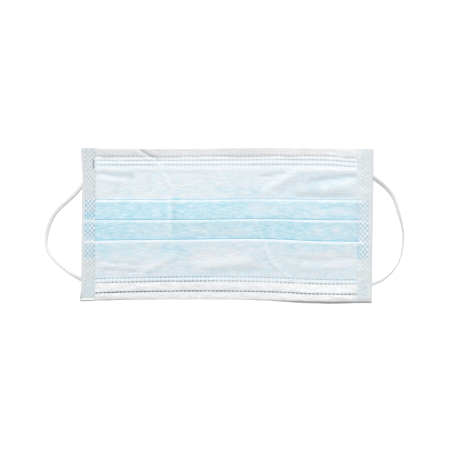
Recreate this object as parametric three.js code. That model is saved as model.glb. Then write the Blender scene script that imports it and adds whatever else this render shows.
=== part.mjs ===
// A pleated three-ply face mask with folded-over hems, side bindings and elastic ear loops.
// It lies on its inner side: X runs along the pleats, +Y to the chin hem and -Y to the nose hem.
// Millimetres, +Z up. The origin is the middle of the footprint, without the loops, at the base.

import * as THREE from 'three';

// Overall size, over the bindings and over the hems
const MASK_WIDTH = 175;
const MASK_HEIGHT = 91.1;

// How far the nose hem wanders from a straight line
const NOSE_SAG = 1.1;

// Walls and clearances
const SHEET_WALL = 1.0;
const HEM_WALL = 1.0;
const BINDING_WALL = 1.0;
const LAYER_GAP = 0.25;
const PIECE_GAP = 0.3;
const FLOOR_GAP = 0.05;
const EDGE_CHAMFER = 0.3;

// The turn of each fold in degrees, and the least cosine at which a mitre still grows
const FOLD_ANGLES = [-45, 0, 45];
const MITRE_LIMIT = 0.7;

// Hems and bindings, as seen from the front
const CHIN_HEM_WIDTH = 4.5;
const NOSE_HEM_WIDTH = 10.8;
const BINDING_WIDTH = 9.4;
const BINDING_OVERHANG = 0.3;

// Weld lines press into the cloth, and the cloth puffs up between them
const WELD_WIDTH = 1.2;
const WELD_FLOOR = 0.3;
const WELD_DEPTH = 0.35;
const RIB_RISE = 0.35;

// Ear loops: a flat elastic, laid on the surface
const LOOP_WIDTH = 2.0;
const LOOP_THICKNESS = 1.2;
const LOOP_STEP = 2.2;
const LOOP_SIDES = 8;

// Soft dents of the sheet, and the ramps that carry it over the bindings and the loop ends
const DENT_HEIGHT = 0.9;
const END_RAMP = 20;
const CORNER_RAMP = 14;
const RAMP_MARGIN = 6;

// The steepest slope that the binding tape follows over the pleats
const TAPE_SLOPE = 0.35;

// Spacing of the sections along X, of the shared points along Y, of the tape's sections and of the
// samples of the stack under the tape
const SECTION_STEP = 7.0;
const GRID_STEP = 6.0;
const TAPE_STEP = 3.1;
const SAMPLE_STEP = 0.5;
const MARK_CLEARANCE = 0.4;

// Each pleat's visible edge and hidden fold, as shares of the height down from the chin edge
const PLEATS = [
  { name: 'chin pleat', edge: 0.340, hidden: 0.455 },
  { name: 'middle pleat', edge: 0.472, hidden: 0.587 },
  { name: 'nose pleat', edge: 0.604, hidden: 0.719 },
];

// Weld lines beside each hem, as shares of that hem's width in from the mask's edge
const CHIN_WELDS = [
  { name: 'along the hem', at: 1.00 },
  { name: 'beside the hem', at: 1.60 },
  { name: 'inner line', at: 2.20 },
];
const NOSE_WELDS = [
  { name: 'beside the hem', at: 1.055 },
  { name: 'inner line', at: 1.305 },
];

// The weld along the nose hem, as a share of the hem's width in from the edge
const NOSE_HEM_WELD = 0.50;

// The nose hem's drift along X: places as shares of half the width, drifts as shares of NOSE_SAG
const NOSE_DRIFT = [
  { at: -1.00, drift: -0.80 },
  { at: -0.80, drift: -0.10 },
  { at: -0.50, drift: 0.75 },
  { at: -0.20, drift: 0.65 },
  { at: 0.10, drift: 0.45 },
  { at: 0.35, drift: -0.10 },
  { at: 0.58, drift: -1.05 },
  { at: 0.80, drift: -1.25 },
  { at: 1.00, drift: -1.20 },
];

// Soft dents: x and reachX are shares of half the width, y and reachY are shares of the height
// (y down from the chin edge), and rise is a share of DENT_HEIGHT
const DENTS = [
  { name: 'bulge at the chin, right', x: 0.60, y: 0.215, reachX: 0.26, reachY: 0.110, rise: 1.0 },
  { name: 'bulge at the chin, left', x: -0.62, y: 0.170, reachX: 0.20, reachY: 0.080, rise: 0.6 },
  { name: 'crease across the pleats', x: -0.38, y: 0.450, reachX: 0.12, reachY: 0.260, rise: 0.7 },
  { name: 'crease to the nose', x: 0.28, y: 0.650, reachX: 0.14, reachY: 0.180, rise: 0.7 },
];

// The corners are lifted over the loop ends: full lift starts at these shares of the height
const CORNERS = { chinFull: 0.276, noseFull: 0.835 };

// The loops' routes, from the weld behind the chin corner, round outside the mask, and back to
// the weld behind the nose corner. The points are chosen by hand.
const LEFT_LOOP_ROUTE = [
  { x: -81.8, y: 39.6 },
  { x: -81.9, y: 35.6 },
  { x: -82.4, y: 31.2 },
  { x: -84.4, y: 27.0 },
  { x: -87.6, y: 23.3 },
  { x: -91.6, y: 18.7 },
  { x: -96.6, y: 14.0 },
  { x: -101.8, y: 9.1 },
  { x: -105.1, y: 4.3 },
  { x: -107.1, y: -0.5 },
  { x: -108.3, y: -5.3 },
  { x: -108.8, y: -10.1 },
  { x: -107.8, y: -14.9 },
  { x: -104.4, y: -19.7 },
  { x: -99.3, y: -24.5 },
  { x: -93.0, y: -29.2 },
  { x: -88.0, y: -32.3 },
  { x: -84.6, y: -34.6 },
  { x: -82.6, y: -37.6 },
  { x: -82.0, y: -41.6 },
];
const RIGHT_LOOP_ROUTE = [
  { x: 82.0, y: 40.4 },
  { x: 82.4, y: 36.8 },
  { x: 84.3, y: 32.4 },
  { x: 87.9, y: 28.9 },
  { x: 91.5, y: 26.1 },
  { x: 94.9, y: 23.3 },
  { x: 98.8, y: 18.8 },
  { x: 101.2, y: 14.0 },
  { x: 102.8, y: 9.1 },
  { x: 104.2, y: 4.3 },
  { x: 105.3, y: -0.5 },
  { x: 105.9, y: -5.3 },
  { x: 105.8, y: -10.1 },
  { x: 105.1, y: -14.9 },
  { x: 103.8, y: -19.7 },
  { x: 101.4, y: -24.5 },
  { x: 97.8, y: -28.9 },
  { x: 93.0, y: -32.6 },
  { x: 87.4, y: -35.2 },
  { x: 84.0, y: -37.4 },
  { x: 82.4, y: -42.0 },
];

// Height of the loops' centreline over the surface that they lie on
const LOOP_HEIGHT = LOOP_THICKNESS / 2 + FLOOR_GAP;

const SHEET_BLUE = { color: 0xc6e4f0, roughness: 0.92, metalness: 0 };
const HEM_WHITE = { color: 0xebedf0, roughness: 0.92, metalness: 0 };
const BINDING_WHITE = { color: 0xdfe7ea, roughness: 0.9, metalness: 0 };
const ELASTIC_WHITE = { color: 0xe8eaea, roughness: 0.8, metalness: 0 };

// Places that follow from the sizes
const chinY = (MASK_HEIGHT + NOSE_SAG) / 2;
const noseY = chinY - MASK_HEIGHT;
const halfWidth = MASK_WIDTH / 2;
const sheetHalfWidth = halfWidth - BINDING_WALL - PIECE_GAP;
const edgeInset = HEM_WALL + PIECE_GAP;
const endLift = BINDING_WALL + PIECE_GAP;
const cornerLift = LOOP_HEIGHT + LOOP_THICKNESS / 2 + PIECE_GAP;

// The folded sheet's layers
const layerRise = SHEET_WALL + LAYER_GAP;
const foldRadius = layerRise / 2;
const foldReach = foldRadius + SHEET_WALL / 2;
const restLine = SHEET_WALL / 2;
const folds = PLEATS.map((row) => ({
  edge: chinY - row.edge * MASK_HEIGHT - foldReach,
  hidden: chinY - row.hidden * MASK_HEIGHT + foldReach,
}));
const lastHidden = folds.at(-1).hidden;
const settleY = lastHidden - (folds.at(-2).hidden - lastHidden);
const chinLines = CHIN_WELDS.map((row) => chinY - row.at * CHIN_HEM_WIDTH);
const noseLines = NOSE_WELDS.map((row) => noseY + row.at * NOSE_HEM_WIDTH);

function smoothStep(value) {
  const t = Math.min(1, Math.max(0, value));
  return t * t * (3 - 2 * t);
}

function bell(t) {
  return Math.abs(t) < 1 ? (1 - t * t) ** 2 : 0;
}

// Height of a panel's middle line: it rests at its lower end, and shingles over the fold above
function panelHeight(panel, y) {
  if (panel === 0) return restLine;
  const start = folds[panel - 1].hidden;
  if (y >= start) return panelHeight(panel - 1, y) + 2 * layerRise;
  const end = panel < folds.length ? folds[panel].hidden : settleY;
  return restLine + 2 * layerRise * Math.max(0, (y - end) / (start - end));
}

// The relief of the sheet's front: pressed in at each weld line, and puffed up between them
function faceRise(y) {
  for (const lines of [chinLines, noseLines]) {
    for (let i = 0; i < lines.length; i += 1) {
      if (Math.abs(y - lines[i]) < WELD_FLOOR) return -WELD_DEPTH;
      const t = (y - lines[i]) / (lines[i + 1] - lines[i]);
      if (t > 0 && t < 1) return RIB_RISE * Math.sin(Math.PI * t);
    }
  }
  return 0;
}

// Marks of a row of weld lines: the middle and both sides of each, and the crown of each rib
function weldMarks(lines) {
  return lines.flatMap((line, i) => {
    const crown = i > 0 ? [(lines[i - 1] + line) / 2] : [];
    return [...crown, line, line - WELD_WIDTH / 2, line + WELD_WIDTH / 2];
  });
}

// Points of one flat stretch of the sheet, at its ends, at its marks and on the shared grid
function stretch(from, to, heightAt, marks = []) {
  const low = Math.min(from, to);
  const high = Math.max(from, to);
  const places = [from, to];
  const addIfClear = (y, clearance) => {
    const isInside = y > low && y < high;
    if (isInside && places.every((other) => Math.abs(other - y) > clearance)) places.push(y);
  };
  marks.forEach((y) => addIfClear(y, MARK_CLEARANCE));
  for (let y = Math.ceil(low / GRID_STEP) * GRID_STEP; y < high; y += GRID_STEP) {
    addIfClear(y, WELD_WIDTH);
  }
  places.sort((a, b) => (to > from ? a - b : b - a));
  return places.map((y) => ({ y, z: heightAt(y) }));
}

// The turn between two layers, from the lower to the upper one, without its end points
function foldTurn(centreY, lowerZ, side) {
  return FOLD_ANGLES.map((degrees) => {
    const angle = THREE.MathUtils.degToRad(degrees);
    return {
      y: centreY + side * foldRadius * Math.cos(angle),
      z: lowerZ + foldRadius + foldRadius * Math.sin(angle),
    };
  });
}

// The sheet's middle line from the chin edge through all the pleats to the nose edge
function sheetPath() {
  const bends = folds.map((fold) => fold.hidden);
  const chinMarks = weldMarks(chinLines);
  const noseMarks = [settleY, ...weldMarks(noseLines)];
  const path = stretch(chinY - edgeInset, folds[0].hidden, (y) => panelHeight(0, y), chinMarks);
  folds.forEach((fold, index) => {
    const backHeight = (y) => panelHeight(index, y) + layerRise;
    const frontHeight = (y) => panelHeight(index + 1, y);
    const isLast = index === folds.length - 1;
    const end = isLast ? noseY + edgeInset : folds[index + 1].hidden;
    path.push(...foldTurn(fold.hidden, panelHeight(index, fold.hidden), -1));
    path.push(...stretch(fold.hidden, fold.edge, backHeight, bends));
    path.push(...foldTurn(fold.edge, backHeight(fold.edge), 1));
    path.push(...stretch(fold.edge, end, frontHeight, isLast ? [...bends, ...noseMarks] : bends));
  });
  return path;
}

// The closed outline of a wall round a middle line, mitred at each point
function wallOutline(path, wall) {
  const front = [];
  const back = [];
  path.forEach((point, i) => {
    const before = path[Math.max(0, i - 1)];
    const after = path[Math.min(path.length - 1, i + 1)];
    const into = new THREE.Vector2(point.y - before.y, point.z - before.z);
    const out = new THREE.Vector2(after.y - point.y, after.z - point.z);
    if (i === 0) into.copy(out);
    if (i === path.length - 1) out.copy(into);
    into.normalize();
    out.normalize();
    const along = into.clone().add(out).normalize();
    const mitre = 1 / Math.max(MITRE_LIMIT, along.dot(into));
    const ahead = (wall / 2 + faceRise(point.y)) * mitre;
    const behind = (wall / 2) * mitre;
    front.push(new THREE.Vector2(point.y + along.y * ahead, point.z - along.x * ahead));
    back.push(new THREE.Vector2(point.y - along.y * behind, Math.max(0, point.z + along.x * behind)));
  });
  return [...front, ...back.reverse()];
}

// A hem's outline: a leg on the front of the sheet, and a turn round the edge down to the base
function hemOutline(edgeY, side, width, weldShares) {
  const top = SHEET_WALL + PIECE_GAP + HEM_WALL;
  const legBase = SHEET_WALL + PIECE_GAP;
  const inward = (distance) => edgeY - side * distance;
  const profile = [
    [EDGE_CHAMFER, 0],
    [0, EDGE_CHAMFER],
    [0, top - EDGE_CHAMFER],
    [EDGE_CHAMFER, top],
  ];
  weldShares.forEach((share) => {
    const line = share * width;
    profile.push([line - WELD_WIDTH / 2, top]);
    profile.push([line, top - WELD_DEPTH]);
    profile.push([line + WELD_WIDTH / 2, top]);
  });
  profile.push([width - EDGE_CHAMFER, top]);
  profile.push([width, top - EDGE_CHAMFER]);
  profile.push([width, legBase]);
  profile.push([HEM_WALL, legBase]);
  profile.push([HEM_WALL, 0]);
  return profile.map(([distance, z]) => new THREE.Vector2(inward(distance), z));
}

// The highest point of the given outlines over a place along Y
function topOf(outlines, y) {
  let top = 0;
  outlines.forEach((outline) => {
    outline.forEach((a, i) => {
      const b = outline[(i + 1) % outline.length];
      if (Math.min(a.x, b.x) <= y && Math.max(a.x, b.x) >= y && a.x !== b.x) {
        top = Math.max(top, a.y + ((b.y - a.y) * (y - a.x)) / (b.x - a.x));
      }
    });
  });
  return top;
}

// The height of the binding's front leg: the stack under it, with its steps bridged by the tape
function tapeHeights(outlines) {
  const length = MASK_HEIGHT + 2 * BINDING_OVERHANG;
  const count = Math.ceil(length / SAMPLE_STEP);
  const samples = [];
  for (let i = 0; i <= count; i += 1) {
    const y = noseY - BINDING_OVERHANG + (i / count) * length;
    samples.push({ y, top: topOf(outlines, y) });
  }
  return (y) => {
    const bridged = samples.map((sample) => {
      const away = Math.max(0, Math.abs(sample.y - y) - TAPE_STEP);
      return sample.top - TAPE_SLOPE * away;
    });
    return Math.max(...bridged);
  };
}

// The nose hem's drift at a place along X, between the rows of its table
function noseDrift(x) {
  const share = x / halfWidth;
  const upper = NOSE_DRIFT.findIndex((row) => row.at >= share);
  if (upper < 1) return (share < 0 ? NOSE_DRIFT[0] : NOSE_DRIFT.at(-1)).drift * NOSE_SAG;
  const a = NOSE_DRIFT[upper - 1];
  const b = NOSE_DRIFT[upper];
  const t = smoothStep((share - a.at) / (b.at - a.at));
  return (a.drift + (b.drift - a.drift) * t) * NOSE_SAG;
}

// In-plane drift: none at the chin, all of it at the nose hem
function driftAt(x, y) {
  const down = (chinY - y) / MASK_HEIGHT;
  return noseDrift(x) * smoothStep((down - PLEATS[0].edge) / (PLEATS.at(-1).hidden - PLEATS[0].edge));
}

// The corners rise over the loop ends that lie under them
function cornerLiftAt(x, y) {
  const down = (chinY - y) / MASK_HEIGHT;
  const ramp = CORNER_RAMP / MASK_HEIGHT;
  const chin = smoothStep(1 - (down - CORNERS.chinFull) / ramp);
  const nose = smoothStep(1 - (CORNERS.noseFull - down) / ramp);
  const rampStart = halfWidth - BINDING_WIDTH - RAMP_MARGIN;
  const ends = smoothStep(1 - (rampStart - Math.abs(x)) / END_RAMP);
  return cornerLift * Math.max(chin, nose) * ends;
}

// The sheet rises over the binding's back leg at both ends, and has its soft dents between them
function sheetLiftAt(x, y) {
  const down = (chinY - y) / MASK_HEIGHT;
  const rampStart = halfWidth - BINDING_WIDTH - RAMP_MARGIN;
  const ends = smoothStep(1 - (rampStart - Math.abs(x)) / END_RAMP);
  let rise = 0;
  DENTS.forEach((dent) => {
    const u = bell((x / halfWidth - dent.x) / dent.reachX);
    const v = bell((down - dent.y) / dent.reachY);
    rise += DENT_HEIGHT * dent.rise * u * v;
  });
  return endLift * ends + rise * (1 - ends) + cornerLiftAt(x, y);
}

// Moves each vertex by the drift along Y and by a lift along Z
function drape(geometry, liftAt) {
  const position = geometry.attributes.position;
  for (let i = 0; i < position.count; i += 1) {
    const x = position.getX(i);
    const y = position.getY(i);
    position.setY(i, y + driftAt(x, y));
    position.setZ(i, position.getZ(i) + liftAt(x, y));
  }
  geometry.computeVertexNormals();
  return geometry;
}

// The sheet along X: one ring of its outline for each section, and caps between front and back
function sheetGeometry(outline, length) {
  const steps = Math.round(length / SECTION_STEP);
  const count = outline.length;
  const vertices = [];
  const triangles = [];
  for (let step = 0; step <= steps; step += 1) {
    const x = (step / steps - 0.5) * length;
    outline.forEach((point) => vertices.push(x, point.x, point.y));
  }
  for (let step = 0; step < steps; step += 1) {
    for (let i = 0; i < count; i += 1) {
      const a = step * count + i;
      const b = step * count + ((i + 1) % count);
      triangles.push(a, b, a + count, b, b + count, a + count);
    }
  }
  const last = steps * count;
  for (let i = 0; i < count / 2 - 1; i += 1) {
    const facing = count - 1 - i;
    triangles.push(last + i, last + i + 1, last + facing);
    triangles.push(last + i + 1, last + facing - 1, last + facing);
    triangles.push(i, facing, i + 1);
    triangles.push(i + 1, facing, facing - 1);
  }
  const geometry = new THREE.BufferGeometry();
  geometry.setAttribute('position', new THREE.Float32BufferAttribute(vertices, 3));
  geometry.setIndex(triangles);
  return geometry;
}

// A hem along X, with its section drawn in Y and Z
function hemGeometry(outline, length) {
  const steps = Math.round(length / SECTION_STEP);
  const shape = new THREE.Shape(outline);
  const geometry = new THREE.ExtrudeGeometry(shape, { depth: length, steps, bevelEnabled: false });
  const turn = new THREE.Matrix4().makeBasis(
    new THREE.Vector3(0, 1, 0),
    new THREE.Vector3(0, 0, 1),
    new THREE.Vector3(1, 0, 0),
  );
  geometry.applyMatrix4(turn);
  geometry.translate(-length / 2, 0, 0);
  return geometry;
}

// A binding tape: a U of cloth round the side edge, whose front leg follows the stack under it
function bindingGeometry(side, tapeHeightAt) {
  const legBase = BINDING_WALL + 2 * PIECE_GAP;
  const top = legBase + BINDING_WALL;
  const profile = [
    [EDGE_CHAMFER, 0],
    [BINDING_WIDTH, 0],
    [BINDING_WIDTH, BINDING_WALL],
    [BINDING_WALL, BINDING_WALL],
    [BINDING_WALL, legBase],
    [BINDING_WIDTH, legBase],
    [BINDING_WIDTH, top - EDGE_CHAMFER],
    [BINDING_WIDTH - EDGE_CHAMFER, top],
    [EDGE_CHAMFER, top],
    [0, top - EDGE_CHAMFER],
    [0, EDGE_CHAMFER],
  ];
  const outline = profile.map(([inward, z]) => new THREE.Vector2(side * (halfWidth - inward), z));
  const length = MASK_HEIGHT + 2 * BINDING_OVERHANG;
  const steps = Math.round(length / TAPE_STEP);
  const shape = new THREE.Shape(outline);
  const geometry = new THREE.ExtrudeGeometry(shape, { depth: length, steps, bevelEnabled: false });
  const turn = new THREE.Matrix4().makeBasis(
    new THREE.Vector3(1, 0, 0),
    new THREE.Vector3(0, 0, 1),
    new THREE.Vector3(0, -1, 0),
  );
  geometry.applyMatrix4(turn);
  geometry.translate(0, chinY + BINDING_OVERHANG, 0);
  const position = geometry.attributes.position;
  for (let i = 0; i < position.count; i += 1) {
    const z = position.getZ(i);
    if (z > BINDING_WALL + PIECE_GAP) position.setZ(i, z + tapeHeightAt(position.getY(i)));
  }
  return drape(geometry, cornerLiftAt);
}

// An ear loop: the flat elastic swept along its route
function loopGeometry(route) {
  const points = route.map((point) => new THREE.Vector3(point.x, point.y, LOOP_HEIGHT));
  const path = new THREE.CatmullRomCurve3(points, false, 'centripetal');
  const section = [];
  for (let i = 0; i < LOOP_SIDES; i += 1) {
    const angle = ((i + 0.5) / LOOP_SIDES) * 2 * Math.PI;
    const corner = Math.cos(Math.PI / LOOP_SIDES);
    const thick = (LOOP_THICKNESS / 2 / corner) * Math.cos(angle);
    const wide = (LOOP_WIDTH / 2 / corner) * Math.sin(angle);
    section.push(new THREE.Vector2(thick, wide));
  }
  const steps = Math.round(path.getLength() / (LOOP_STEP * LOOP_WIDTH));
  return new THREE.ExtrudeGeometry(new THREE.Shape(section), { steps, extrudePath: path });
}

function namedMesh(name, geometry, finish) {
  const mesh = new THREE.Mesh(geometry, new THREE.MeshStandardMaterial(finish));
  mesh.name = name;
  return mesh;
}

const sheetOutline = wallOutline(sheetPath(), SHEET_WALL);
const chinHemOutline = hemOutline(chinY, 1, CHIN_HEM_WIDTH, []);
const noseHemOutline = hemOutline(noseY, -1, NOSE_HEM_WIDTH, [NOSE_HEM_WELD]);
const tapeHeightAt = tapeHeights([sheetOutline, chinHemOutline, noseHemOutline]);
const sheetLength = 2 * sheetHalfWidth;

const mask = new THREE.Group();
mask.add(
  namedMesh('pleated_sheet', drape(sheetGeometry(sheetOutline, sheetLength), sheetLiftAt), SHEET_BLUE),
  namedMesh('chin_hem', drape(hemGeometry(chinHemOutline, sheetLength), sheetLiftAt), HEM_WHITE),
  namedMesh('nose_hem', drape(hemGeometry(noseHemOutline, sheetLength), sheetLiftAt), HEM_WHITE),
  namedMesh('left_binding', bindingGeometry(-1, tapeHeightAt), BINDING_WHITE),
  namedMesh('right_binding', bindingGeometry(1, tapeHeightAt), BINDING_WHITE),
  namedMesh('left_ear_loop', loopGeometry(LEFT_LOOP_ROUTE), ELASTIC_WHITE),
  namedMesh('right_ear_loop', loopGeometry(RIGHT_LOOP_ROUTE), ELASTIC_WHITE),
);

export default mask;
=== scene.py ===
"""The looks of a pleated face mask that lies flat, seen from straight above, around its CAD frame."""

import math

import bpy
import numpy as np
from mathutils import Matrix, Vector


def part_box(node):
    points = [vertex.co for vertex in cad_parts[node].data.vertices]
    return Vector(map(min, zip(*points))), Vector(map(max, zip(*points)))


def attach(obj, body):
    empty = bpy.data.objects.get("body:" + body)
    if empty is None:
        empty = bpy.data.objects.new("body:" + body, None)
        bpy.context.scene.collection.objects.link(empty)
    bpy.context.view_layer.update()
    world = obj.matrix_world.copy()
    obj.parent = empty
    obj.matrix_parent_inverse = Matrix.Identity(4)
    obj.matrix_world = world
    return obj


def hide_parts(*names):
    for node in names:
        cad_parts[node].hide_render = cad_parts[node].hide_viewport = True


MM = 0.001

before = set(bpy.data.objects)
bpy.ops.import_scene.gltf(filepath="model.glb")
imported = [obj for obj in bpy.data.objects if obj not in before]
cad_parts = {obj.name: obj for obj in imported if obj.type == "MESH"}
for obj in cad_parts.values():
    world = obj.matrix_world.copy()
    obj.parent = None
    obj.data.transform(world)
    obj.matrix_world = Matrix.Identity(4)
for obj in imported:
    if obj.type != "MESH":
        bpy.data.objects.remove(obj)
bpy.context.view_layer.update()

# Places read from the frame
LEFT_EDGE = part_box("left_binding")[0].x
RIGHT_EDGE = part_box("right_binding")[1].x
CHIN_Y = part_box("chin_hem")[1].y
HALF_WIDTH = (RIGHT_EDGE - LEFT_EDGE) / 2

# Sizes of the mask as seen from the front. Hems and left tape differ a little from the solids.
MASK_HEIGHT = 91.1 * MM
NOSE_SAG = 1.1 * MM
CHIN_HEM_WIDTH = 5.4 * MM
NOSE_HEM_WIDTH = 11.3 * MM
BINDING_WIDTH = 9.4 * MM
LEFT_BINDING_WIDTH = 8.3 * MM
BINDING_OVERHANG = 0.3 * MM
NOSE_Y = CHIN_Y - MASK_HEIGHT

# The cloth, which is thinner than its CAD walls, and how far its parts keep apart
SHEET_THICKNESS = 0.5 * MM
HEM_THICKNESS = 0.35 * MM
TAPE_THICKNESS = 0.35 * MM
LAYER_GAP = 0.3 * MM
PIECE_GAP = 0.08 * MM
EDGE_INSET = 0.7 * MM
SHEET_INSET = 1.2 * MM
HEM_INSET = 1.0 * MM
TAPE_TURN = 0.5 * MM

# The ear loops, with the ribs and the turns of knit round them
LOOP_WIDTH = 2.0 * MM
LOOP_THICKNESS = 1.1 * MM
WELDED_END_THICKNESS = 0.5 * MM
LOOP_FLOOR_GAP = 0.05 * MM
LOOP_STEP = 0.45 * MM
LOOP_SIDES = 28
LOOP_RIBS = 7
KNIT_PITCH = 1.35 * MM
KNIT_TURNS = 3

# Each pleat's visible edge and hidden fold, as shares of the height down from the chin edge
PLEAT_EDGES = (0.340, 0.472, 0.604)
PLEAT_HIDDEN = (0.455, 0.587, 0.719)

# How dark the shadow at each pleat's edge is
TUCKS = (0.65, 1.0, 1.0)

# Heights and places of the folded layers
LAYER_RISE = SHEET_THICKNESS + LAYER_GAP
FOLD_RADIUS = LAYER_RISE / 2
FOLD_REACH = FOLD_RADIUS + SHEET_THICKNESS / 2
REST_LINE = SHEET_THICKNESS / 2 + 0.05 * MM
TUCK_OFFSET = FOLD_REACH + 0.25 * MM
EDGE_YS = [CHIN_Y - share * MASK_HEIGHT - FOLD_REACH for share in PLEAT_EDGES]
HIDDEN_YS = [CHIN_Y - share * MASK_HEIGHT + FOLD_REACH for share in PLEAT_HIDDEN]
FIRST_FOLD_Y = CHIN_Y - PLEAT_EDGES[0] * MASK_HEIGHT
LAST_FOLD_Y = CHIN_Y - PLEAT_HIDDEN[-1] * MASK_HEIGHT
SETTLE_Y = 2 * HIDDEN_YS[-1] - HIDDEN_YS[-2]

# Weld lines, from the chin edge and from the nose edge: the distance in, and how deep they press
CHIN_HEM_WELDS = ((4.4 * MM, 0.22 * MM),)
CHIN_WELDS = ((4.4 * MM, 0.12 * MM), (7.2 * MM, 0.24 * MM), (9.9 * MM, 0.24 * MM))
NOSE_HEM_WELDS = ((4.9 * MM, 0.38 * MM), (10.9 * MM, 0.26 * MM))
NOSE_WELDS = ((10.9 * MM, 0.12 * MM), (13.4 * MM, 0.30 * MM))
PUFF_START = 0.3 * MM

# How dark each line of the hems is, and how dark its gaps and its dashes are
CHIN_HEM_MARKS = (0.58,)
NOSE_HEM_MARKS = (1.22, 0.95)
CHIN_HEM_GAPS = 0.6
NOSE_HEM_GAPS = 0.75
HEM_DASHES = 1.12

# The dashes of the weld lines, and the cloth between and beside them
DASH_PITCH = 2.41 * MM
DASH_SHARE = 0.52
WELD_WIDTH = 0.32 * MM
# The depths at which the welds' and the creases' painted shade is at its darkest
DARKEST_WELD = 0.2 * MM
DARKEST_CREASE = 0.6 * MM
RIB_RISE = 0.34 * MM
GATHER_RISE = 0.07 * MM
GATHER_REACH = 2.6 * MM

# The tape's weld points: columns from the mask's edge inwards, and rows along it
DOT_COLUMNS = (3.3 * MM, 5.85 * MM, 8.4 * MM)
LEFT_DOTS_SHIFT = 0.7 * MM
DOT_ROW_PITCH = 2.93 * MM
DOT_SIZE = 0.46 * MM
DOT_DEPTH = 0.16 * MM
PLAIN_MARGIN = 1.8 * MM

# The right tape's outer part hides the sheet, and its inner part is sheer
SHEER_START = 3.4 * MM
SHEER_REACH = 2.8 * MM

# Lifts of the cloth over what lies under it
END_LIFT = TAPE_THICKNESS + PIECE_GAP + 0.05 * MM
CORNER_LIFT = LOOP_FLOOR_GAP + WELDED_END_THICKNESS + PIECE_GAP
END_RAMP = 20 * MM
CORNER_RAMP = 14 * MM
RAMP_MARGIN = 6 * MM
CORNER_FULL_CHIN = 0.276
CORNER_FULL_NOSE = 0.835
NOSE_END_DROP = 2.6 * MM
TAPE_SLOPE = 0.14
TAPE_EDGE_SLOPE = 0.7
TAPE_EDGE_REACH = 3.2 * MM

# The left tape's loose stretch, and the dark spot at the loop's nose end, both painted shadows
SLIT_Y = 36.8 * MM
LOOP_END_Y = -43.0 * MM

# How much of its height the stack of layers loses under the tapes
END_SQUEEZE = 0.45

# How high the nose edge stands off the surface along X, in millimetres
EDGE_PLACES = (-1.0, -0.85, -0.6, -0.4, 0.1, 0.28, 0.5, 0.72, 0.86, 1.0)
EDGE_LIFTS = (-0.25, -0.2, -0.15, -0.45, -0.45, 0.05, 1.9, 2.4, 0.8, 0.5)
EDGE_REACH = 13 * MM

# The side edges' wander: shares of the height down from the chin edge, and shifts in millimetres
SIDE_REACH = 12 * MM
SIDE_PLACES = (0.0, 0.18, 0.5, 0.88, 0.95, 1.0)
LEFT_SHIFTS = (-0.25, 0.7, 0.25, 0.0, -0.45, -0.75)
RIGHT_SHIFTS = (0.45, 0.35, -0.1, -0.55, -0.7, -0.7)

# The chin edge's drift along X, in millimetres
CHIN_PLACES = (-1.0, -0.75, -0.2, 0.3, 0.7, 1.0)
CHIN_DRIFTS = (0.05, -0.35, -0.15, 0.4, 0.05, -0.85)

# The chin's weld lines turn away from the edge towards the right tape
CHIN_FAN = 0.9 * MM
CHIN_FAN_REACH = 30 * MM
CHIN_REACH = 0.2

# The pleats' drift along X, in millimetres
FOLD_PLACES = (-1.0, -0.3, -0.05, 0.15, 0.38, 0.6, 1.0)
FOLD_DRIFTS = (-0.05, -0.1, 0.25, 0.6, 0.45, -0.05, -0.3)

# The nose hem's drift along X: places as shares of half the width, drifts as shares of NOSE_SAG
DRIFT_PLACES = (-1.0, -0.8, -0.5, -0.2, 0.1, 0.35, 0.58, 0.8, 1.0)
DRIFTS = (-0.8, -0.25, 0.3, 0.5, 0.45, -0.1, -1.05, -1.25, -1.2)

# How much narrower the nose hem is outside its weld line along X, in millimetres
TRIM_PLACES = (-1.0, -0.8, -0.6, -0.45, 0.2, 0.38, 0.5, 0.7, 1.0)
TRIMS = (0.7, 0.8, 0.5, 0.1, 0.0, 0.15, 0.4, 0.65, 0.6)

# How dark the nose hem's outer weld line is along X, and the sheet's own line beside the hem
MARK_PLACES = (-1.0, -0.75, -0.35, 0.1, 0.3, 0.55, 0.75, 1.0)
MARK_SHARES = (0.8, 1.05, 1.15, 0.9, 0.7, 0.95, 1.05, 0.8)
INNER_MARK_PLACES = (-1.0, -0.6, -0.5, -0.32, -0.2, 0.2, 0.45, 0.65, 0.8, 1.0)
INNER_MARK_SHARES = (1.3, 1.2, 1.9, 1.9, 1.3, 1.2, 0.9, 1.3, 1.2, 0.9)

# How grey the chin hem's painted shade makes it along X
GREY_PLACES = (-1.0, -0.73, -0.62, -0.52, -0.4, -0.1, 0.05, 0.25, 0.36, 0.58, 0.7, 1.0)
GREY_SHARES = (1.6, 1.7, 1.0, 1.9, 1.0, 1.05, 1.4, 1.3, 0.5, 1.0, 0.4, 0.2)

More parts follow.
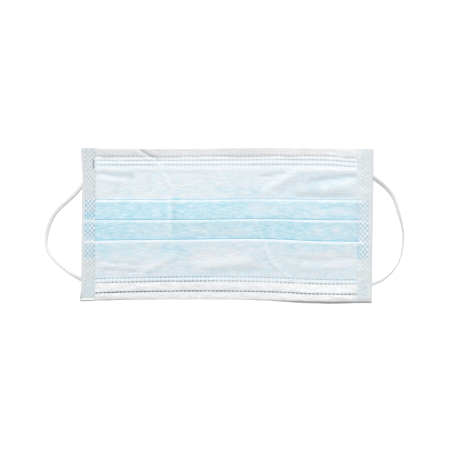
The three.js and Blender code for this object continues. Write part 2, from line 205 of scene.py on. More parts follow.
# Creases of the cloth: both ends as x, y, x, y, the half width and the height, all in
# millimetres. A negative height is a valley.
CREASES = (
    # A fold in the chin hem, and the lip beside it
    (-52.2, 45.8, -40.8, 38.6, 0.6, -0.8), (-55.0, 44.2, -46.2, 39.6, 1.1, 0.5),
    # Under the chin welds, over the upper panel
    (-81.0, 31.8, -56.0, 29.2, 1.0, -0.9), (-79.0, 28.6, -62.0, 26.0, 1.6, 0.65),
    (-60.0, 32.0, -12.0, 31.8, 0.8, -0.58), (-64.0, 27.0, -68.0, 17.0, 2.6, -0.28),
    (-41.0, 37.0, -34.8, 24.0, 1.2, 0.55), (20.0, 29.4, 40.0, 32.4, 0.8, -0.6),
    (41.0, 32.0, 21.0, 19.6, 2.6, 0.7), (46.0, 29.0, 30.0, 19.0, 2.4, -0.35),
    # The wedge at the right tape
    (44.0, 33.0, 78.0, 33.6, 1.1, 0.55), (49.0, 26.6, 80.0, 31.0, 1.4, -0.8),
    (56.0, 21.6, 79.0, 26.4, 2.6, 0.75), (42.0, 17.6, 76.0, 17.8, 1.7, -0.65),
    # The upright crease and the slanting one, over the pleats
    (-34.8, 17.0, -34.0, -8.0, 2.1, 0.55), (-31.6, 14.0, -31.2, -5.0, 1.4, -0.5),
    (16.0, 5.4, 21.6, -9.5, 0.9, 0.5), (21.6, -9.5, 26.4, -22.0, 1.1, 0.6),
    (26.4, -22.0, 38.0, -31.4, 1.0, 0.6),
    # Wrinkles at the lower left
    (-31.6, -18.6, -53.0, -29.0, 2.6, 0.55), (-34.0, -23.4, -48.0, -31.0, 1.6, -0.22),
    (-80.0, -20.6, -54.0, -23.6, 0.65, -0.6), (-80.0, -22.8, -56.0, -25.6, 0.9, 0.45),
    (-80.0, -25.2, -50.0, -28.4, 0.65, -0.65), (-80.0, -28.6, -62.0, -30.4, 0.7, -0.35),
    # Wrinkles at the lower right
    (40.0, -20.0, 78.0, -18.0, 1.0, -0.4), (44.0, -24.4, 76.0, -23.0, 1.4, 0.45),
    # The soft roll over the nose welds, and its dip
    (-20.0, -25.0, 14.0, -22.0, 3.2, 0.65), (-12.0, -29.4, 20.0, -27.0, 2.0, -0.35),
)

# Deeper and paler places of the blue: the middle and the reach in millimetres, and how much bluer
PATCHES = (
    # First band
    (-29.6, 11.0, 4.0, 6.0, 0.85), (2.0, 13.0, 6.0, 3.0, 0.4),
    (22.0, 9.0, 16.0, 4.5, -0.3), (60.0, 8.0, 16.0, 4.0, -0.35),
    (-58.0, 9.0, 8.0, 4.0, 0.25), (-37.5, 9.0, 4.0, 4.0, 0.35),
    # Second band
    (25.0, -2.0, 6.0, 5.0, 0.5), (42.0, -0.5, 9.0, 3.0, 0.35),
    (8.0, -4.0, 10.0, 3.0, -0.45), (-16.0, -3.0, 9.0, 3.0, -0.4),
    (62.0, -3.5, 15.0, 4.5, -0.35), (-42.0, -3.0, 15.0, 4.5, -0.25),
    (-75.0, -2.0, 7.0, 5.0, 0.25),
    # Third band
    (-31.0, -14.5, 7.0, 5.0, 0.45), (-72.0, -13.0, 12.0, 4.0, 0.25),
    (54.0, -12.0, 20.0, 3.0, 0.2),
    # Lower panel
    (62.0, -19.0, 17.0, 3.2, -0.5), (2.0, -19.0, 12.0, 5.0, -0.3),
    (-14.0, -19.0, 9.0, 3.0, -0.3), (-66.0, -25.5, 16.0, 5.0, -0.35),
    # Upper panel
    (60.0, 24.0, 16.0, 5.0, 0.25), (12.0, 20.0, 28.0, 4.0, 0.25),
    (-72.0, 38.0, 10.0, 3.0, 0.25),
)

# The blue of each visible panel, from 0, white, to 1, where three blue layers lie on each other
# The third band has three layers too; its lower value is painted light, paler for how the light falls on
# it
PANEL_TINTS = (0.14, 0.95, 1.0, 0.43)
LOWER_TINT = 0.30

# The camera looks straight down from far away, and sees the photograph's frame
VIEW_SIZE = 270.6 * MM
VIEW_CENTRE = (-1.2 * MM, 0.1 * MM)
CAMERA_HEIGHT = 1.1
SENSOR_WIDTH = 36.0

# The floor and the sweep around it, in metres
FLOOR_RADIUS = 2.6
SWEEP_RADIUS = 1.2
WALL_HEIGHT = 2.0
FLOOR_SIDES = 96

# One soft light beyond the chin edge, in an even white room
KEY_PLACE = (-0.15, 1.3, 2.75)
KEY_SIZE = (0.6, 0.35)
KEY_POWER = 77
ROOM_LIGHT = 0.37

# The loops' routes in millimetres, as in the CAD source
LEFT_LOOP_ROUTE = (
    (-81.8, 39.6), (-81.9, 35.6), (-82.4, 31.2), (-84.4, 27.0), (-87.6, 23.3),
    (-91.6, 18.7), (-96.6, 14.0), (-101.8, 9.1), (-105.1, 4.3), (-107.1, -0.5),
    (-108.3, -5.3), (-108.8, -10.1), (-107.8, -14.9), (-104.4, -19.7), (-99.3, -24.5),
    (-93.0, -29.2), (-88.0, -32.3), (-84.6, -34.6), (-82.6, -37.6), (-82.0, -41.6),
)
RIGHT_LOOP_ROUTE = (
    (82.0, 40.4), (82.4, 36.8), (84.3, 32.4), (87.9, 28.9), (91.5, 26.1),
    (94.9, 23.3), (98.8, 18.8), (101.2, 14.0), (102.8, 9.1), (104.2, 4.3),
    (105.3, -0.5), (105.9, -5.3), (105.8, -10.1), (105.1, -14.9), (103.8, -19.7),
    (101.4, -24.5), (97.8, -28.9), (93.0, -32.6), (87.4, -35.2), (84.0, -37.4),
    (82.4, -42.0),
)

# How far each loop is turned on edge, in degrees, and how grey its painted shade makes it, along its
# length
LEFT_TWISTS = ((0, 0), (1, 0))
RIGHT_TWISTS = ((0, 0), (0.34, 0), (0.46, 72), (0.8, 72), (0.88, 0), (1, 0))
LEFT_SHADES = ((0, 0.6), (0.5, 0.6), (0.6, 0.3), (0.7, 0.12), (0.8, 0.15), (0.88, 0.6), (1, 0.9))
RIGHT_SHADES = (
    (0, 1), (0.2, 0.95), (0.3, 0.65), (0.38, 0.52), (0.5, 0.72), (0.62, 0.42), (0.72, 0),
    (0.84, 0), (0.93, 0.5),
)


def smooth_step(t):
    t = np.clip(t, 0, 1)
    return t * t * (3 - 2 * t)


def ramp(distance, length):
    """0 up to the start, 1 from a length on."""
    return smooth_step(distance / length)


def hump(distance, reach):
    """1 in the middle, 0 well beyond the reach."""
    return np.exp(-((distance / reach) ** 2))


def noise(x, y, size_x, size_y, seed):
    """Smooth random values from -1 to 1, in cells of size_x by size_y millimetres."""
    cells = 97
    table = np.random.RandomState(seed).uniform(-1, 1, (cells, cells))
    u = np.asarray(x) / (size_x * MM) + 40.5
    v = np.asarray(y) / (size_y * MM) + 40.5
    iu, iv = np.floor(u).astype(int), np.floor(v).astype(int)
    fu, fv = smooth_step(u - iu), smooth_step(v - iv)
    a = table[iu % cells, iv % cells]
    b = table[(iu + 1) % cells, iv % cells]
    c = table[iu % cells, (iv + 1) % cells]
    d = table[(iu + 1) % cells, (iv + 1) % cells]
    return (a * (1 - fu) + b * fu) * (1 - fv) + (c * (1 - fu) + d * fu) * fv


def layered_noise(x, y, size_x, size_y, seed, octaves=3):
    total = 0
    for octave in range(octaves):
        scale = 0.5**octave
        total = total + scale * noise(x, y, size_x * scale, size_y * scale, seed + octave)
    return total


def running_mean(values, reach):
    """Each value averaged with its neighbours up to a reach away."""
    count = 2 * reach + 1
    return np.convolve(np.pad(values, reach, "edge"), np.ones(count) / count, "valid")


def eased(x, table_places, values):
    """Values between the rows of a table along X, without kinks."""
    count = 21
    fine = np.linspace(-1.2, 1.2, 241)
    smoothed = np.convolve(np.interp(fine, table_places, values), np.ones(count) / count, "same")
    inside = slice(count - 1, 1 - count)
    return np.interp(x / HALF_WIDTH, fine[inside], smoothed[inside])


# Shape fields over the whole mask

def share_down(y):
    """0 at the chin edge, 1 at the nose edge."""
    return (CHIN_Y - y) / MASK_HEIGHT


def end_share(x):
    """0 on the open cloth, 1 at the mask's ends, which lie on the tapes."""
    ramp_start = HALF_WIDTH - BINDING_WIDTH - RAMP_MARGIN
    return smooth_step(1 - (ramp_start - np.abs(x)) / END_RAMP)


def tape_share(x):
    """0 on the open cloth, 1 under the tapes."""
    return ramp(np.abs(x) - HALF_WIDTH + BINDING_WIDTH + 2.5 * MM, 2.5 * MM)


def squeeze(x):
    """How much of its height the stack keeps: the tapes press it flat at both ends."""
    inner = HALF_WIDTH - BINDING_WIDTH - 5 * MM
    return 1 - END_SQUEEZE * ramp(np.abs(x) - inner, 5 * MM)


def corner_lift(x, y):
    """How far the loops' ends lift the corners."""
    down = share_down(y)
    reach = CORNER_RAMP / MASK_HEIGHT
    chin = smooth_step(1 - (down - CORNER_FULL_CHIN) / reach)
    nose = smooth_step(1 - (CORNER_FULL_NOSE - down) / reach)
    drop = 1 - 0.95 * ramp(NOSE_Y + NOSE_END_DROP - y, NOSE_END_DROP)
    return CORNER_LIFT * np.maximum(chin, nose * drop) * end_share(x)


def edge_lift(x, y):
    """How far the nose edge stands off the surface."""
    nose = ramp(NOSE_Y + EDGE_REACH - y, EDGE_REACH)
    return MM * eased(x, EDGE_PLACES, EDGE_LIFTS) * nose


def tape_lift(x, y):
    return corner_lift(x, y) + edge_lift(x, y)


def crease_height(x, y):
    """The summed relief of all the creases."""
    total = np.zeros(np.broadcast(x, y).shape)
    for row in CREASES:
        ax, ay, bx, by, half_width, height = (value * MM for value in row)
        dx, dy = bx - ax, by - ay
        length = math.hypot(dx, dy)
        along = ((x - ax) * dx + (y - ay) * dy) / length**2
        across = ((x - ax) * dy - (y - ay) * dx) / length
        ends = smooth_step(along / 0.25 + 0.6) * smooth_step((1 - along) / 0.25 + 0.6)
        total = total + height * ends * hump(across, half_width)
    return total


def cloth_lift(x, y):
    """The lift of the sheet and its hems: the ends, the billow and the creases."""
    ends = end_share(x)
    billow = 0.45 * MM * (1 + 0.8 * layered_noise(x, y, 46, 30, 11, 2))
    middle = billow * (1 - ramp(NOSE_Y + EDGE_REACH - y, EDGE_REACH)) * (1 - ends)
    lift = END_LIFT * ends + middle + edge_lift(x, y) + corner_lift(x, y)
    return lift + crease_height(x, y) * (1 - 0.92 * tape_share(x))


def fan_shift(x, down):
    """How far the chin's weld lines, but not the edge itself, turn away from the edge."""
    turn = ramp(x - HALF_WIDTH + CHIN_FAN_REACH, CHIN_FAN_REACH - BINDING_WIDTH)
    away_from_edge = ramp(down, 0.05) * (1 - ramp(down - 0.12, CHIN_REACH))
    return -CHIN_FAN * turn * away_from_edge


def drift(x, y):
    """How far the edges and folds wander along Y."""
    down = share_down(y)
    span = (down - PLEAT_EDGES[1]) / (PLEAT_HIDDEN[-1] - PLEAT_EDGES[1])
    nose = NOSE_SAG * eased(x, DRIFT_PLACES, DRIFTS) * smooth_step(span)
    chin = MM * eased(x, CHIN_PLACES, CHIN_DRIFTS) * (1 - ramp(down, CHIN_REACH))
    trim = MM * eased(x, TRIM_PLACES, TRIMS) * ramp(NOSE_Y + 4 * MM - y, 3.5 * MM)
    at_pleats = smooth_step(down / PLEAT_EDGES[0] - 0.3) * (1 - ramp(down - 0.62, 0.2))
    pleats = MM * eased(x, FOLD_PLACES, FOLD_DRIFTS) * at_pleats
    return nose + chin + trim + fan_shift(x, down) + pleats


def side_shift(x, y):
    """How far a point near a side edge moves along X."""
    down = np.clip(share_down(y), 0, 1)
    left = np.interp(down, SIDE_PLACES, LEFT_SHIFTS)
    right = np.interp(down, SIDE_PLACES, RIGHT_SHIFTS)
    return MM * np.where(x < 0, left, right) * smooth_step((np.abs(x) - HALF_WIDTH) / SIDE_REACH + 1)


def drape(x, y, z, lift, lowest):
    """Points with their shifts and their lift, none below the lowest height."""
    points = np.stack([x + side_shift(x, y), y + drift(x, y), z + lift(x, y)], -1)
    points[..., 2] = np.maximum(points[..., 2], lowest)
    return points


# Weld relief

def weld_lines(edge_y, side, welds):
    """The lines' places along Y and their depths: side is 1 at the chin and -1 at the nose."""
    return [(edge_y - side * distance, depth) for distance, depth in welds]


def line_ys(lines):
    return [y for y, _ in lines]


def dash_wave(x):
    """1 in the middle of each dash, 0 between dashes."""
    phase = np.mod(x / DASH_PITCH, 1.0)
    half = DASH_SHARE / 2
    return ramp(half + 0.1 - np.abs(phase - 0.5), 0.2)


def weld_relief(x, y, lines):
    """Pressed dashes along each line, given as (y, depth)."""
    relief = np.zeros(np.broadcast(x, y).shape)
    for line_y, depth in lines:
        seed = int(abs(line_y) * 1e5)
        wander = 0.12 * MM * noise(x, y * 0, 14, 1, seed)
        strength = 0.8 + 0.25 * noise(x, y * 0, 9, 1, seed + 3)
        pressed = depth * strength * hump(y - line_y - wander, WELD_WIDTH)
        relief = relief - pressed * (0.5 + 0.5 * dash_wave(x))
    return relief


def gather_relief(x, y, lines):
    """Small upright gathers beside the weld lines, fading away from them."""
    away = np.min([np.abs(y - line_y) for line_y in line_ys(lines)], axis=0)
    uneven = 0.6 + 0.6 * noise(x, y, 5, 7, 71)
    shift = 0.5 * noise(x, y * 0, 20, 1, 73)
    waves = np.cos(2 * math.pi * (x / DASH_PITCH + shift))
    return GATHER_RISE * uneven * waves * np.exp(-away / GATHER_REACH) * (1 - hump(away, WELD_WIDTH))


def rib_relief(y, starts):
    """The puff of the cloth between neighbouring places along Y."""
    relief = np.zeros(np.shape(y))
    for start, end in zip(starts, starts[1:]):
        t = (y - start) / (end - start)
        puff = RIB_RISE * np.sin(math.pi * np.clip(t, 0, 1)) ** 0.7
        relief = relief + np.where((t > 0) & (t < 1), puff, 0)
    return relief


CHIN_LINES = weld_lines(CHIN_Y, 1, CHIN_WELDS)
NOSE_LINES = weld_lines(NOSE_Y, -1, NOSE_WELDS)
CHIN_HEM_LINES = weld_lines(CHIN_Y, 1, CHIN_HEM_WELDS)
NOSE_HEM_LINES = weld_lines(NOSE_Y, -1, NOSE_HEM_WELDS)
NOSE_PUFFS = [NOSE_Y + PUFF_START, *line_ys(NOSE_HEM_LINES)]


# Shades over the whole mask

def patch_tint(x, y):
    """How much bluer the cloth is at a place than its panel."""
    total = np.zeros(np.broadcast(x, y).shape)
    for middle_x, middle_y, reach_x, reach_y, strength in PATCHES:
        across = hump(x - middle_x * MM, reach_x * MM)
        total = total + strength * across * hump(y - middle_y * MM, reach_y * MM)
    return total * (1.2 + 0.8 * noise(x, y, 4, 1.8, 91))


# The welds' darkening: partly the melted film of the welds, partly painted shade in their pressed
# grooves, darker where they press deeper
def weld_shade(welds):
    return np.clip(-welds / DARKEST_WELD, 0, 1)


# Painted shade: the creases' valleys are darkened in colour by how deep they are
def valley_shade(x, y, least):
    """How dark the creases' valleys are, where they are deeper than the least share."""
    return np.clip(-crease_height(x, y) / DARKEST_CREASE - least, 0, 1)


# Meshes

def add_object(name, data):
    added = bpy.data.objects.new(name, data)
    bpy.context.scene.collection.objects.link(added)
    return added


def add_mesh(name, vertices, faces, materials):
    """A smooth mesh with its materials by name."""
    mesh = bpy.data.meshes.new(name)
    mesh.from_pydata(vertices, [], faces)
    for material in materials:
        mesh.materials.append(painted_material(material))
    mesh.polygons.foreach_set("use_smooth", np.ones(len(mesh.polygons), bool))
    mesh.update()
    return add_object(name, mesh)


def set_attribute(mesh, name, values):
    attribute = mesh.attributes.new(name, "FLOAT", "POINT")
    attribute.data.foreach_set("value", values.astype(np.float32))


def closed_cloth(name, front, back, shades, materials):
    """A closed mesh from a front and a back grid of points, joined along their rims."""
    rows, columns = front.shape[:2]
    count = rows * columns
    vertices = np.concatenate([front.reshape(-1, 3), back.reshape(-1, 3)])
    grid = np.arange(count).reshape(rows, columns)
    a, b = grid[:-1, :-1].ravel(), grid[:-1, 1:].ravel()
    c, d = grid[1:, 1:].ravel(), grid[1:, :-1].ravel()
    faces = [np.stack([a, d, c, b], 1), np.stack([a, b, c, d], 1) + count]
    for rim in (grid[0, :], grid[:, -1], grid[-1, ::-1], grid[::-1, 0]):
        p, q = rim[:-1], rim[1:]
        faces.append(np.stack([p, q, q + count, p + count], 1))
    piece = add_mesh(name, vertices.tolist(), np.concatenate(faces).tolist(), materials)
    index = np.zeros(len(piece.data.polygons), np.int32)
    index[len(a) : 2 * len(a)] = len(materials) - 1
    piece.data.polygons.foreach_set("material_index", index)
    for key, shade in shades.items():
        one_side = np.broadcast_to(shade, (rows, columns)).ravel()
        set_attribute(piece.data, key, np.tile(one_side, 2))
    return piece


def ring_faces(rings, sides, first=0):
    """The faces between neighbouring rings of points."""
    faces = []
    for i in range(rings - 1):
        low = first + i * sides
        high = low + sides
        for j in range(sides):
            k = (j + 1) % sides
            faces.append((low + j, high + j, high + k, low + k))
    return faces


def fan_faces(centre, ring, sides):
    """The triangles from a centre to a ring of points."""
    return [(centre, ring + j, ring + (j + 1) % sides) for j in range(sides)]


def places(start, stop, spacing, marks=()):
    """Values from start to stop about a spacing apart, with extra ones round each mark."""
    count = max(1, round(abs(stop - start) / spacing))
    values = list(np.linspace(start, stop, count + 1))
    low, high = min(start, stop), max(start, stop)
    for mark in marks:
        values = [v for v in values if abs(v - mark) > 0.7 * MM or v in (start, stop)]
        near = [mark + step * MM for step in (-0.6, -0.38, -0.2, 0, 0.2, 0.38, 0.6)]
        values += [v for v in near if low < v < high]
    values.sort(reverse=stop < start)
    return np.array(values)


def dash_columns(left, right):
    """Places along X, four for each weld dash, from left to right."""
    first = math.ceil(left / DASH_PITCH) - 1
    last = math.floor(right / DASH_PITCH) + 1
    shares = (0.18, 0.36, 0.64, 0.82)
    columns = [(k + share) * DASH_PITCH for k in range(first, last + 1) for share in shares]
    inside = [x for x in columns if left + 0.2 * MM < x < right - 0.2 * MM]
    return np.array([left, *inside, right])


def profile_normals(u, w):
    """The front normals of a profile drawn in (u, w), towards its left when it runs to lower u."""
    du, dw = np.gradient(u, axis=0), np.gradient(w, axis=0)
    length = np.hypot(du, dw)
    return dw / length, -du / length


# The folded sheet

def panel_height(panel, y):
    if panel == 0:
        return np.full(np.shape(y), REST_LINE)
    start = HIDDEN_YS[panel - 1]
    end = HIDDEN_YS[panel] if panel < len(HIDDEN_YS) else SETTLE_Y
    above = panel_height(panel - 1, y) + 2 * LAYER_RISE
    below = REST_LINE + 2 * LAYER_RISE * np.clip((y - end) / (start - end), 0, None)
    return np.where(y >= start, above, below)


def panel_tint(panel, y):
    """The blue of a panel, which fades below the last hidden fold."""
    if panel < len(PLEAT_EDGES):
        return np.full(np.shape(y), PANEL_TINTS[panel])
    fade = ramp(LAST_FOLD_Y + 2 * MM - y, 4 * MM)
    return PANEL_TINTS[panel] * (1 - fade) + LOWER_TINT * fade


def stack_top(y):
    """The height of the sheet's front, before any lift."""
    top = panel_height(0, y)
    for i, edge in enumerate(EDGE_YS):
        top = np.where(y <= edge + FOLD_RADIUS, panel_height(i + 1, np.minimum(y, edge)), top)
    return top + SHEET_THICKNESS / 2


def fold_turn(centre_y, lower_z, side, count):
    angles = np.linspace(-math.pi / 2, math.pi / 2, count + 2)[1:-1]
    ys = centre_y + side * FOLD_RADIUS * np.cos(angles)
    zs = lower_z + FOLD_RADIUS + FOLD_RADIUS * np.sin(angles)
    return ys, zs


def sheet_profile():
    """Middle line of the folded sheet: y, z, the panel's tint, and how near a fold edge it is."""
    stretches = []

    def add(*values):
        stretches.append(np.array(np.broadcast_arrays(*values), float))

    def front(panel, start, visible_end, end, marks):
        y = places(start, visible_end, 1.4 * MM, marks)
        edge = (1 - ramp(start - y, 1.0 * MM)) * (panel > 0)
        add(y, panel_height(panel, y), panel_tint(panel, y), edge)
        if abs(end - visible_end) > 0.1 * MM:
            y = places(visible_end, end, 3 * MM)[1:]
            add(y, panel_height(panel, y), PANEL_TINTS[panel], 0)

    def turn_back(panel, fold_y, edge_y):
        add(*fold_turn(fold_y, float(panel_height(panel, fold_y)), -1, 3), 0, 0)
        back = places(fold_y, edge_y, 3 * MM)
        add(back, panel_height(panel, back) + LAYER_RISE, 0, 0)
        lower = float(panel_height(panel, edge_y)) + LAYER_RISE
        add(*fold_turn(edge_y, lower, 1, 7), PANEL_TINTS[panel + 1], 1)

    first_marks = [*line_ys(CHIN_LINES), EDGE_YS[0] + TUCK_OFFSET]
    front(0, CHIN_Y - EDGE_INSET, EDGE_YS[0], HIDDEN_YS[0], first_marks)
    for i, (edge_y, next_edge) in enumerate(zip(EDGE_YS, EDGE_YS[1:])):
        turn_back(i, HIDDEN_YS[i], edge_y)
        front(i + 1, edge_y, next_edge, HIDDEN_YS[i + 1], [next_edge + TUCK_OFFSET])
    turn_back(len(EDGE_YS) - 1, HIDDEN_YS[-1], EDGE_YS[-1])
    nose_end = NOSE_Y + EDGE_INSET
    front(len(EDGE_YS), EDGE_YS[-1], nose_end, nose_end, line_ys(NOSE_LINES))
    return np.concatenate(stretches, 1)


def sheet_shades(x, y, welds, ribs):
    # Painted shadow just above each pleat's edge, where the fold tucks under
    tucks = sum(depth * hump(y - edge - TUCK_OFFSET, 0.27 * MM) for edge, depth in zip(EDGE_YS, TUCKS))
    # Painted highlights: the puffed ribs between weld lines, a band under the chin welds, the gathers and
    # the crease ridges are lightened as if lit
    under_welds = hump(y - CHIN_LINES[-1][0] + 1.6 * MM, 1.3 * MM)
    puffs = np.clip(ribs / RIB_RISE, 0, 1) * np.where(y > 0, 1.04, 0.6) + under_welds
    ridge_highlights = 0.6 * np.clip(crease_height(x, y) / DARKEST_CREASE - 0.2, 0, 1)
    marks = np.where(y > 0, 0.75, eased(x, INNER_MARK_PLACES, INNER_MARK_SHARES))
    marks = (marks + 0.35 * noise(x, y, 6, 2, 61)) * (0.78 + 0.32 * dash_wave(x))
    return {
        # Weld lines: partly their melted film, partly painted shade
        "weld": weld_shade(welds) * marks,
        "tuck_shadow": np.clip(tucks, 0, 1),
        # Painted shade in the creases' valleys
        "crease_shade": valley_shade(x, y, 0.15),
        "puff": np.clip(puffs * (0.85 + 0.26 * np.cos(2 * math.pi * x / DASH_PITCH)) + ridge_highlights, 0, 1),
    }


def make_sheet():
    ys, zs, tints, edges = sheet_profile()
    ny, nz = profile_normals(ys[:, None], zs[:, None])
    x, y = np.meshgrid(dash_columns(-HALF_WIDTH + SHEET_INSET, HALF_WIDTH - SHEET_INSET), ys)
    z = REST_LINE + (zs[:, None] - REST_LINE) * squeeze(x)
    lines = CHIN_LINES + NOSE_LINES
    welds = weld_relief(x, y, lines)
    ribs = (rib_relief(ys, line_ys(CHIN_LINES)) + rib_relief(ys, line_ys(NOSE_LINES)))[:, None]
    fibres = 0.11 * MM * layered_noise(x, y, 9, 2.8, 21)
    relief = welds + ribs + fibres + gather_relief(x, y, lines)
    relief = relief * np.clip(nz, 0, 1) * (1 - 0.8 * tape_share(x))
    half = SHEET_THICKNESS / 2
    front = drape(x, y + ny * (half + relief), z + nz * (half + relief), cloth_lift, 0.15 * MM)
    back = drape(x, y - ny * half, z - nz * half, cloth_lift, 0.02 * MM)
    shades = {
        "tint": tints[:, None] + patch_tint(x, y),
        # Painted highlight along each pleat's visible fold edge
        "fold": edges[:, None] * (0.8 + 0.25 * noise(x, y, 11, 3, 51)),
        **sheet_shades(x, y, welds, ribs),
    }
    return closed_cloth("mask_sheet", front, back, shades, ["blue_cloth", "inner_cloth"])


# The hems

def hem_profile(edge_y, side, width, lines):
    """Middle line of a strip folded over the sheet's edge: y, z, and 1 on its front."""
    middle = 2 * REST_LINE + PIECE_GAP + HEM_THICKNESS / 2
    radius = middle / 2
    inner = places(width, radius, 0.8 * MM, [abs(edge_y - y) for y in line_ys(lines)])
    angles = np.linspace(0, math.pi, 9)[1:]
    tail = radius + np.array([0.8, 1.6]) * MM
    distance = np.concatenate([inner, radius - radius * np.sin(angles), tail])
    zs = np.concatenate([np.full(len(inner), middle), radius + radius * np.cos(angles), 0 * tail])
    zs = np.maximum(zs, HEM_THICKNESS / 2 + 0.02 * MM)
    is_front = (np.arange(len(zs)) < len(inner)).astype(float)
    return (edge_y - side * distance)[::-side], zs[::-side], is_front[::-side]


def hem_shades(x, y, side, lines, marks, gaps):
    dark = sum(mark * weld_shade(weld_relief(x, y, [line])) for line, mark in zip(lines, marks))
    if side < 0:
        dark = dark * eased(x, MARK_PLACES, MARK_SHARES)
    dark = dark * (gaps + (HEM_DASHES - gaps) * dash_wave(x))
    return {
        # Weld lines: partly their melted film, partly painted shade
        "weld": dark * (0.9 + 0.3 * noise(x, y, 8, 2, 63)),
        # Painted shade in the creases' valleys
        "crease_shade": valley_shade(x, y, 0.2),
        # Painted shade that greys the chin hem along X
        "grey": eased(x, GREY_PLACES, GREY_SHARES) * (side > 0),
    }


def make_hem(name, edge_y, side, width, lines, puffs, marks, gaps):
    """A hem, puffed between some places: side is 1 at the chin and -1 at the nose.

    marks gives how dark each weld line is, and gaps how dark its gaps are."""
    ys, zs, is_front = hem_profile(edge_y, side, width, lines)
    ny, nz = profile_normals(ys[:, None], zs[:, None])
    x, y = np.meshgrid(dash_columns(-HALF_WIDTH + HEM_INSET, HALF_WIDTH - HEM_INSET), ys)
    on_front = is_front[:, None]
    welds = weld_relief(x, y, lines) * on_front
    puff = rib_relief(y, puffs) * on_front
    fibres = 0.11 * MM * layered_noise(x, y, 7, 3.0, 31)
    relief = welds + puff + fibres + gather_relief(x, y, lines) * on_front
    relief = relief * (1 - 0.8 * tape_share(x))
    free_edge = np.abs(y - (edge_y - side * width))
    thin = np.where(on_front > 0, 0.25 + 0.75 * ramp(free_edge, MM), 1)
    half = HEM_THICKNESS / 2 * thin
    z = zs[:, None] * squeeze(x) - HEM_THICKNESS / 2 + half
    lowest = 0.01 * MM
    front = drape(x, y + ny * (half + relief), z + nz * (half + relief), cloth_lift, lowest)
    back = drape(x, y - ny * half, z - nz * (half - welds - puff), cloth_lift, lowest)
    shades = hem_shades(x, y, side, lines, marks, gaps)
    shades["weld"] = shades["weld"] * on_front
    return closed_cloth(name, front, back, shades, ["hem_cloth"])


# The tapes

def tape_top(ys, slope, reach):
    """The tape's height over the stack, with the pleats' steps bridged and smoothed."""
    samples = np.linspace(NOSE_Y, CHIN_Y, 400)
    tops = stack_top(samples)
    hems = (samples > CHIN_Y - CHIN_HEM_WIDTH) | (samples < NOSE_Y + NOSE_HEM_WIDTH)
    tops = tops + np.where(hems, HEM_THICKNESS + PIECE_GAP, 0)
    tops = REST_LINE + (tops - REST_LINE) * (1 - END_SQUEEZE)
    away = np.abs(ys[:, None] - samples[None, :])
    bridged = (tops[None, :] - slope * np.clip(away - MM, 0, None)).max(1)
    return running_mean(bridged, reach)


def tape_profile(ys, width):
    """The rows of a tape: how far in from the side edge, the height, and 1 on the front."""
    rest = 2 * PIECE_GAP + TAPE_THICKNESS / 2 + END_LIFT
    smooth_top = tape_top(ys, TAPE_SLOPE, 14) + rest
    close_top = tape_top(ys, TAPE_EDGE_SLOPE, 2) + rest
    low = TAPE_THICKNESS / 2 + 0.02 * MM
    half_height = (smooth_top - low) / 2
    rows = []
    for inward in np.linspace(width, TAPE_TURN, 28):
        pressed = ramp(inward - width + TAPE_EDGE_REACH, TAPE_EDGE_REACH)
        rows.append((inward, smooth_top * (1 - pressed) + close_top * pressed, 1.0))
    for angle in np.linspace(0, math.pi, 9)[1:-1]:
        inward = TAPE_TURN - TAPE_TURN * np.sin(angle) + TAPE_THICKNESS / 2 * np.sin(angle)
        rows.append((inward, low + half_height + half_height * np.cos(angle), 0.0))
    for inward in np.linspace(TAPE_TURN, BINDING_WIDTH, 8):
        rows.append((inward, np.full(len(ys), low), 0.0))
    inward, level, is_front = (np.array(values) for values in zip(*rows))
    return inward[:, None], level, is_front[:, None]


def dot_field(inward, y, offset=0.0):
    """1 at the middle of each weld point of the tape, 0 away from them.

    An offset of half a row gives the pits between the points."""
    field = np.zeros(np.broadcast(inward, y).shape)
    middles = [(a + b) / 2 for a, b in zip(DOT_COLUMNS, DOT_COLUMNS[1:])]
    lattices = ((DOT_COLUMNS, 0.0, 1.0), (middles, 0.5, 0.9))
    for columns, shift, strength in lattices:
        row = np.mod(y / DOT_ROW_PITCH + shift + offset, 1.0)
        away_y = (row - 0.5) * DOT_ROW_PITCH
        for column in columns:
            away = (np.abs(inward - column) + np.abs(away_y)) / DOT_SIZE
            field = np.maximum(field, strength * smooth_step(1.6 - away))
    return field


def at_folds(y, folds, offset, reach):
    """1 beside each fold, 0 away from them."""
    return sum(hump(y - fold - offset, reach) for fold in folds)


def tape_tint(side, inward, y, strength, fold_highlights):
    """How blue the sheet shows through a tape, and over which stretch its panels do."""
    shows = ramp(FIRST_FOLD_Y + 0.6 * MM - y, MM)
    shows = shows * ramp(y - LAST_FOLD_Y + 1.5 * MM, 3 * MM)
    blotches = 0.8 + 0.45 * noise(inward, y, 5, 4, 83 + side)
    strength = strength * (1 - 0.3 * ramp(EDGE_YS[1] - y, 3 * MM))
    streaks = 0.5 + 0.5 * noise(inward, y, 0.9, 8, 87 + side)
    low = 0.4 * streaks * ramp(NOSE_Y + 14 * MM - y, 4 * MM)
    low = low * ramp(y - NOSE_Y - 2 * MM, MM)
    return shows * strength * blotches * (1 - 0.7 * fold_highlights) + low, shows


